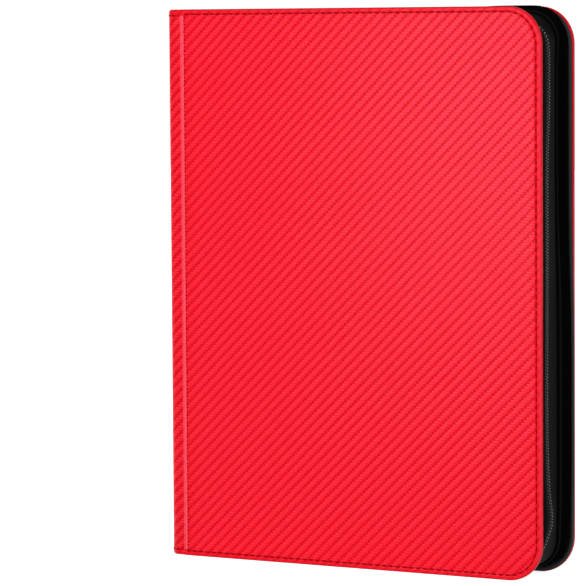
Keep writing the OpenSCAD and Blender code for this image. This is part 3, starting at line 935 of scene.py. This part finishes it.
# %% Hinge linings, facings and bindings
edge_steps = 220
binding_w = 2.8 * MM
binding_h = 1.1 * MM
binding_inset = 2.3 * MM
facing_w = 4.8 * MM
bare_edge = 1.2 * MM                       # of the red skin, outside the facing
hinge_cloth_low, hinge_cloth_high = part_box("front_hinge_lining")
lining_t = 0.4 * MM
lining_lap = 1 * MM                        # how far the free sheet runs on past both its ends
binding_give = 0.22                        # how much of the gusset's bulge the binding takes
lining_levels = [hinge_cloth_low.z, height / 2, hinge_cloth_high.z]
for side, name in COVERS:
    bm = shape_wrap(lining_lap - spine_half, hinge_high.x + lining_lap, hinge_cloth_low.x,
                    lining_levels)
    thicken(bm, lining_t)
    if side > 0:
        flip(bm)
    lining = piece(f"{name}_hinge_cloth", bm, lining_cloth,
                   [f"{name}_hinge_lining"], sharp=50)
    bend_at_hinge(lining)
    # The binding's grey is a painted highlight along the cover's black edge.
    bm = strip(0, walk_length(binding_inset, panel_x), -binding_w / 2, binding_w / 2, edge_steps, 6)
    for v in bm.verts:
        v.co.z = -binding_h * (1 - (2 * v.co.y / binding_w) ** 2)
        v.co.y -= binding_give * low_swell(v.co.x)
    bmesh.ops.reverse_faces(bm, faces=bm.faces)
    bend_on_cover(bm, side, -panel_high.y, binding_inset, panel_x)
    binding = piece(f"{name}_binding", bm, binding_highlight_cloth)
    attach(binding, f"{name}_cover")
    bm = strip(0, walk_length(bare_edge, panel_x), 0, facing_w, edge_steps, 1)
    bmesh.ops.translate(bm, vec=(0, 0, -tuck), verts=bm.verts)
    bmesh.ops.reverse_faces(bm, faces=bm.faces)
    bend_on_cover(bm, side, -panel_high.y, bare_edge, panel_x)
    facing = piece(f"{name}_facing", bm, lining_cloth)
    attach(facing, f"{name}_cover")
print("linings and bindings made")

# %% [markdown]
# ## Tape and gusset
# The zip is long because the binder is thick: tape, coil, tape, and behind it a gusset of
# dense nylon that makes up the rest of the depth. Tape and gusset meet in a seam, where the
# gusset folds back on itself, so a soft roll stands beside a groove, under a padded welt
# whose lighter cloth is a painted highlight beside the seam.

# %% Tape and gusset strips
strip_steps = 240
tape_t = 0.6 * MM
gusset_seam = gusset_low.y
groove_d = 0.7 * MM
roll_h = 0.9 * MM
roll_w = 1.1 * MM
welt_gap = 0.8 * MM                        # from the seam to the welt
welt_w = 2.8 * MM
welt_h = 0.9 * MM
seam_lap = 0.2 * MM                        # of the tape over the gusset


def gusset_lift(y):
    """How far the gusset stands out at depth y: a groove at the seam and a roll beside it."""
    roll = roll_h * hump(y, gusset_seam + 1.5 * roll_w, roll_w)
    groove = groove_d * hump(y, gusset_seam, 0.5 * roll_w)
    return roll - groove


for name, low, high, cover, material, slot, node in (
        ("front_zip_tape", -inner_y, zip_y, "front_cover", tape_cloth, "zip_tape", "front_tape"),
        ("back_zip_tape", zip_y, gusset_seam + seam_lap, "back_cover", tape_cloth, "zip_tape",
         "back_tape"),
        ("back_gusset_cloth", gusset_seam, inner_y, "back_cover", gusset_cloth, "gusset_fabric",
         "back_gusset")):
    bm = strip(0, zip_length, low, high, strip_steps, 12)
    if slot == "gusset_fabric":
        for v in bm.verts:
            v.co.z = gusset_lift(v.co.y)
    thicken(bm, tape_t)
    bend_round_zip(bm)
    band = piece(name, bm, material, [node])
    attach(band, cover)
# The welt's cloth is a little lighter than the gusset's: a painted highlight beside the seam.
welt_start = gusset_seam + welt_gap
bm = strip(0, zip_length, welt_start, welt_start + welt_w, strip_steps, 8)
for v in bm.verts:
    v.co.z = tuck + welt_h * math.sin(math.pi * (v.co.y - welt_start) / welt_w)
bend_round_zip(bm)
welt = piece("gusset_welt_highlight", bm, welt_highlight_cloth)
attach(welt, "back_cover")
print("tape and gusset made")

# %% [markdown]
# ## Nylon coil
# The teeth of this zip are turns of one nylon wire, wound flat and sewn to the tape's edge.
# The turns of the two sides lie between each other, half a pitch apart. One turn is a round
# section swept round a flattened loop, repeated along the straight zip and bent with the rest.
# A cord fills each coil, and one stitch holds every turn down, its pale grey a painted glint.

# %% Coils
coil_pitch = 1.9 * MM
coil_wire = 0.4 * MM                       # radius
coil_centre = 0.85 * MM                    # from the middle of the zip
coil_reach = 1.15 * MM
coil_rise = 0.72 * MM
coil_lift = 1.12 * MM                      # of the loops' middle above the tape
coil_start = 0.3 * MM
flatness = 0.7                             # below one, it flattens the loops
turn_rings = 8
wire_sides = 5
holder = (0.34 * coil_pitch, 0.8 * MM, 0.4 * MM)   # length, width and height of a stitch
holder_out = 1.45 * MM                     # from the middle of the zip
cord_low, cord_high = 0.1 * MM, 2.4 * MM   # both sides of the cord, from the same
cord_h = 0.9 * MM


def tube(bm, points, radius, sides, across):
    """Sweeps a round section along points; across is a direction that the path never takes."""
    before = None
    for k, point in enumerate(points):
        along = (points[min(k + 1, len(points) - 1)] - points[max(k - 1, 0)]).normalized()
        right = (across - across.dot(along) * along).normalized()
        here = Matrix((right, along.cross(right), along)).transposed().to_4x4()
        here.translation = point
        if before is None:
            ring = bmesh.ops.create_circle(bm, segments=sides, radius=radius, matrix=here)["verts"]
            edges = list(dict.fromkeys(e for v in ring for e in v.link_edges))
        else:
            grown = bmesh.ops.extrude_edge_only(bm, edges=edges)["geom"]
            edges = edges_of(grown)
            bmesh.ops.transform(bm, matrix=here @ before.inverted(), verts=verts_of(grown))
        before = here


def turn_shift(side):
    """The back coil's turns lie half a pitch on from the front's."""
    return coil_pitch / 2 if side > 0 else 0


def coil(side, start, count):
    """That many turns of the front (-1) or back (1) coil, straight, from length start."""
    bm = bmesh.new()
    loop = []
    for k in range(turn_rings + 1):
        a = 2 * math.pi * k / turn_rings
        flat = math.copysign(abs(math.cos(a)) ** flatness, math.cos(a))
        loop.append(Vector((coil_pitch * k / turn_rings,
                            zip_y + side * (coil_centre + coil_reach * flat),
                            coil_lift + coil_rise * math.sin(a))))
    tube(bm, loop, coil_wire, wire_sides, Vector((1, 0, 0)))
    bmesh.ops.recalc_face_normals(bm, faces=bm.faces)
    repeat(bm, count, coil_pitch)
    bmesh.ops.translate(bm, vec=(start + turn_shift(side), 0, 0), verts=bm.verts)
    return bm


turns = int(zip_length / coil_pitch) - 1
for side, name in COVERS:
    bm = coil(side, coil_start, turns)
    bend_round_zip(bm)
    half = piece(f"{name}_coil", bm, coil_nylon, [f"{name}_chain"])
    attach(half, f"{name}_cover")
    # The holder stitches are pale grey as painted glints on the coil.
    bm = stitch_row(zip_length - coil_pitch, coil_pitch, holder)
    at = (coil_start + turn_shift(side), zip_y + side * holder_out,
          coil_lift + coil_rise + coil_wire)
    bmesh.ops.translate(bm, vec=at, verts=bm.verts)
    bend_round_zip(bm)
    row = piece(f"{name}_coil_stitches", bm, pale_glint_thread)
    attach(row, f"{name}_cover")
    low, high = sorted((zip_y + side * cord_low, zip_y + side * cord_high))
    bm = strip(0, zip_length, low, high, strip_steps, 4)
    for v in bm.verts:
        v.co.z = cord_h * math.sin(math.pi * (v.co.y - low) / (high - low)) + tuck
    bend_round_zip(bm)
    cord = piece(f"{name}_coil_cord", bm, gusset_cloth)
    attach(cord, f"{name}_cover")
print("turns of the coil on each side:", turns)

# %% [markdown]
# ## Ends of the zip
# At head and foot the zip runs on over the spine, on a cap of tape that closes the gap between
# the covers. Between cap and cover there is a pleat of gusset cloth. It folds inwards while
# the binder is closed and spreads as the cover opens.

# %% Caps and pleats
end_low, end_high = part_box("head_zip_end")
stop_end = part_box("head_stop")[1].x
cap_gap = 0.05 * MM
pleat_depth = 8 * MM
for first, last, end in ((end_low.x - tape_x, end_high.x - tape_x, "foot"),
                         (zip_length + tape_x - end_high.x, zip_length + tape_x - end_low.x,
                          "head")):
    bm = strip(first, last, end_low.y, end_high.y, 2, 12)
    thicken(bm, tape_t)
    bend_round_zip(bm)
    cap = piece(f"{end}_cap", bm, tape_cloth, [f"{end}_zip_end"])
    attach(cap, "spine")
    start = max(first, stop_end - tape_x) if end == "foot" else first
    count = int((end_high.x - stop_end) / coil_pitch)
    for side, name in COVERS:
        bm = coil(side, start + coil_start, count - 1)
        bend_round_zip(bm)
        run_on = piece(f"{end}_{name}_coil_end", bm, coil_nylon)
        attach(run_on, "spine")

for side, name, low, high in ((-1, "front", end_low.y, zip_y - cap_gap),
                              (1, "back", zip_y + cap_gap, end_high.y)):
    for up_way, end, edge in ((-1, "foot", zip_recess + tape_t + cap_gap),
                              (1, "head", height - zip_recess - tape_t - cap_gap)):
        bm = bmesh.new()
        tip = bm.verts.new((end_low.x, low, edge))
        for step in ((end_high.x - end_low.x, 0, 0),
                     ((tape_x - end_high.x) / 2, 0, -up_way * pleat_depth),
                     ((tape_x - end_high.x) / 2, 0, up_way * pleat_depth)):
            tip = extend(bm, tip, step)
        pull(bm, bm.edges[:], (0, high - low, 0))
        bmesh.ops.subdivide_edges(bm, edges=bm.edges, cuts=2, use_grid_fill=True)
        bmesh.ops.recalc_face_normals(bm, faces=bm.faces)
        pleat = piece(f"{name}_{end}_pleat", bm, gusset_cloth)
        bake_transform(pleat)
print("caps and pleats made")

# %% [markdown]
# ## Leaves
# A leaf is a black sheet with clear film on both faces, welded round nine pockets. The pockets
# open towards the spine, so that a card can't slip out when the binder is tipped: there the
# film is left unwelded, and its edge stands off the sheet. A thin strip of the sheet, left
# soft, is its margin. It bends in a smooth S from its own leaf to the block on the spine, where
# all the margins are welded together.

# %% Leaves and margins
leaf_low, leaf_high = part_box("leaf_01")
leaf_t = leaf_high.y - leaf_low.y
sheet_t = 0.5 * MM
leaf_corner = 4 * MM
film_border = 1.5 * MM                     # bare sheet round the films
film_gap = 0.02 * MM
weld_w = 3 * MM
pocket_slope = 1.2 * MM
pocket_play = 0.1 * MM                     # left free inside the leaf's thickness
pillow_w, pillow_h = 4 * MM, 0.06 * MM     # a slight pillow in the middle of each pocket
mouth_lean = 0.15                          # a mouth faces the spine by at least this
pockets_across = 3
margin_t = 0.25 * MM
root_play = 0.15 * MM                      # from the outer margins to the block's sides
leaf_count = sum(name.startswith("turning_leaf") for name in frame["bodies"])


def shape_sheet():
    """The black sheet of a leaf, its middle at y = 0, with two round corners."""
    bm = bmesh.new()
    corners = [(leaf_low.x, leaf_low.z), (leaf_high.x, leaf_low.z), (leaf_high.x, leaf_high.z),
               (leaf_low.x, leaf_high.z)]
    verts = [bm.verts.new((x, -sheet_t / 2, z)) for x, z in corners]
    bm.faces.new(verts)
    bmesh.ops.bevel(bm, geom=verts[1:3], offset=leaf_corner, segments=8, profile=0.5,
                    affect="VERTICES", material=-1)
    thicken(bm, sheet_t)
    return bm


def shape_films():
    """The film on both faces of a leaf, raised over its pockets and open at their mouths."""
    bm = bmesh.new()
    low = Vector((leaf_low.x + film_border, -sheet_t / 2 - film_gap, leaf_low.z + film_border))
    wide = leaf_high.x - leaf_low.x - 2 * film_border
    tall = leaf_high.z - leaf_low.z - 2 * film_border
    verts = [bm.verts.new(low + Vector((x * wide, 0, z * tall)))
             for x, z in ((0, 0), (1, 0), (1, 1), (0, 1))]
    bm.faces.new(verts)
    for k in range(1, pockets_across):
        for way, size in (((1, 0, 0), wide), ((0, 0, 1), tall)):
            cut_through(bm, low + Vector(way) * size * k / pockets_across, way)
    pockets = bm.faces[:]
    rise = (leaf_t - sheet_t) / 2 - pocket_play
    for inset, depth in ((weld_w / 2, 0), (pocket_slope, rise), (pillow_w, pillow_h)):
        bmesh.ops.inset_individual(bm, faces=pockets, thickness=inset, depth=depth,
                                   use_even_offset=True)
    bm.normal_update()
    mouths = [f for f in bm.faces if f.normal.x < -mouth_lean]
    bmesh.ops.delete(bm, geom=mouths, context="FACES_ONLY")
    other = bmesh.ops.duplicate(bm, geom=bm.verts[:] + bm.edges[:] + bm.faces[:])["geom"]
    bmesh.ops.scale(bm, vec=(1, -1, 1), verts=verts_of(other))
    bmesh.ops.reverse_faces(bm, faces=faces_of(other))
    return bm


sheet_shape = shape_sheet()
film_shape = shape_films()
last_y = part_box(f"leaf_{leaf_count:02d}")[1].y - leaf_t / 2
root_half = block_high.y - root_play
for k in range(1, leaf_count + 1):
    body = f"turning_leaf_{k:02d}"
    leaf_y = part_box(f"leaf_{k:02d}")[0].y + leaf_t / 2
    for shape, kind, material, slot in ((sheet_shape, "sheet", leaf_plastic, "binding_plastic"),
                                        (film_shape, "film", film, "pocket_film")):
        bm = shape.copy()
        bmesh.ops.translate(bm, vec=(0, leaf_y, 0), verts=bm.verts)
        leaf = piece(f"leaf_{k:02d}_{kind}", bm, material, [f"leaf_{k:02d}"], sharp=30)
        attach(leaf, body)
    bm = strip(block_high.x, leaf_low.x, leaf_low.z, leaf_high.z, 10, 1)
    root_y = leaf_y / last_y * root_half
    for v in bm.verts:
        x, z, _ = v.co
        u = (x - block_high.x) / (leaf_low.x - block_high.x)
        v.co = (x, root_y + (leaf_y - root_y) * u * u * (3 - 2 * u), z)
    thicken(bm, margin_t)
    half = "front" if k <= leaf_count / 2 else "back"
    margin = piece(f"leaf_{k:02d}_margin", bm, leaf_plastic,
                   [f"{half}_margins"])
    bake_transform(margin)
sheet_shape.free()
film_shape.free()
print("leaves:", leaf_count)

# %% [markdown]
# ## Parts that stay as they were packed
# Slider, link, tab, stops, binding block and the layers inside the covers already have their
# real shape, so they keep it. They get a material each, and a small bevel takes the sharpness
# off the edges of the castings, because no cast or moulded edge is a knife.

# %% Materials for the frame's own nodes
dressed = {
    "front_lining": lining_cloth, "back_lining": lining_cloth, "spine_lining": lining_cloth,
    "front_board": pulp_board, "back_board": pulp_board, "spine_board": pulp_board,
    "front_pad": foam, "back_pad": foam, "front_hem": tape_cloth, "back_hem": gusset_cloth,
    "binding_block": leaf_plastic, "slider": nickel, "pull_link": nickel,
    "head_stop": nickel, "foot_stop": nickel, "pull_tab": rubber}
for node, material in dressed.items():
    for material_slot in frame["nodes"][node].material_slots:
        material_slot.material = material
for node, width in (("slider", 0.3), ("pull_tab", 0.4), ("head_stop", 0.25),
                    ("foot_stop", 0.25), ("binding_block", 0.5)):
    soften = frame["nodes"][node].modifiers.new("soft_edges", "BEVEL")
    soften.width = width * MM
    soften.segments = 3
    soften.limit_method = "ANGLE"
    soften.harden_normals = True
print("nodes dressed:", len(dressed))

# %% [markdown]
# ## Camera, light and floor
# A long lens from the front and to the right, a little above the middle, at the height of a
# table. The lamps and the sky add up to about one, so a colour shows as it is written; the
# white around it is only what the camera, gloss and glass see, and lights nothing.

# %% Camera
target = Vector((-0.0552, 0.0, 0.1696))
distance = 2.3488
yaw, pitch, roll = math.radians(30.62), math.radians(4.03), math.radians(-0.37)
back_way = Vector((math.sin(yaw) * math.cos(pitch), -math.cos(yaw) * math.cos(pitch),
                   math.sin(pitch)))
right_way = Vector((math.cos(yaw), math.sin(yaw), 0))
up_way = back_way.cross(right_way)
tilted_right = math.cos(roll) * right_way + math.sin(roll) * up_way
tilted_up = math.cos(roll) * up_way - math.sin(roll) * right_way
camera = bpy.data.objects.new("camera", bpy.data.cameras.new("camera"))
camera.data.lens = 226.8
camera.data.sensor_width = 36.0
turn = Matrix((tilted_right, tilted_up, back_way)).transposed().to_4x4()
camera.matrix_world = Matrix.Translation(target + back_way * distance) @ turn
bpy.context.scene.collection.objects.link(camera)
bpy.context.scene.camera = camera
print("camera at", tuple(round(c, 3) for c in camera.location))

# %% World and lamps
world = bpy.data.worlds.new("studio")
bpy.context.scene.world = world
world.use_nodes = True
tree = world.node_tree
tree.nodes.clear()
rays = add(tree, "LightPath")
seen = add(tree, "Math", rays.outputs["Is Camera Ray"], rays.outputs["Is Transmission Ray"],
           operation="MAXIMUM")
level = add(tree, "MapRange", seen, sockets={1: 0.0, 2: 1.0, 3: 0.5, 4: 1.02})
sky = add(tree, "Background", sockets={"Color": colour("#ffffff"), "Strength": level})
add(tree, "OutputWorld", sky)


def softbox(name, place, aim, size, power):
    """A square lamp that faces a point."""
    lamp = bpy.data.lights.new(name, "AREA")
    lamp.size = size
    lamp.energy = power
    made = bpy.data.objects.new(name, lamp)
    made.location = place
    made.rotation_euler = (Vector(place) - Vector(aim)).to_track_quat("Z", "Y").to_euler()
    bpy.context.scene.collection.objects.link(made)
    return made


middle = (0, 0, 0.17)
softbox("key", (-0.7, -1.9, 1.5), middle, 1.2, 24.3)
softbox("fill", (1.9, -1.2, 0.9), middle, 1.2, 8.8)
sheen = softbox("sheen", (-0.14, -0.7, 0.3), (0.15, 0, 0.32), 0.4, 2.7)
sheen.visible_diffuse = False
sheen.data.color = (0.75, 0.92, 1.2)
bpy.context.scene.view_settings.view_transform = "Standard"
print("lamps lit")

# %% Floor
floor_paint, tree = new_material("pale_studio_floor")
paint = add(tree, "BsdfDiffuse", sockets={"Color": colour("#f4f4f4")})
rays = add(tree, "LightPath")
away = add(tree, "VectorMath", add(tree, "TexCoord").outputs["Object"], operation="LENGTH")
glow_level = add(tree, "MapRange", away.outputs["Value"],
                 sockets={1: 0.15, 2: 0.6, 3: 0.86, 4: 1.02})
glow = add(tree, "Emission", sockets={"Color": colour("#ffffff"), "Strength": glow_level})
seen = add(tree, "Math", rays.outputs["Is Camera Ray"], rays.outputs["Is Glossy Ray"],
           operation="MAXIMUM")
blank = add(tree, "Emission", sockets={"Color": colour("#000000"), "Strength": 0.0})
lit = add(tree, "MixShader", seen, blank, glow)
add(tree, "OutputMaterial", add(tree, "AddShader", paint, lit))
bm = bmesh.new()
bmesh.ops.create_grid(bm, x_segments=1, y_segments=1, size=6.0)
mesh = bpy.data.meshes.new("floor")
bm.to_mesh(mesh)
bm.free()
mesh.materials.append(floor_paint)
floor = bpy.data.objects.new("floor", mesh)
bpy.context.scene.collection.objects.link(floor)
print("floor laid")
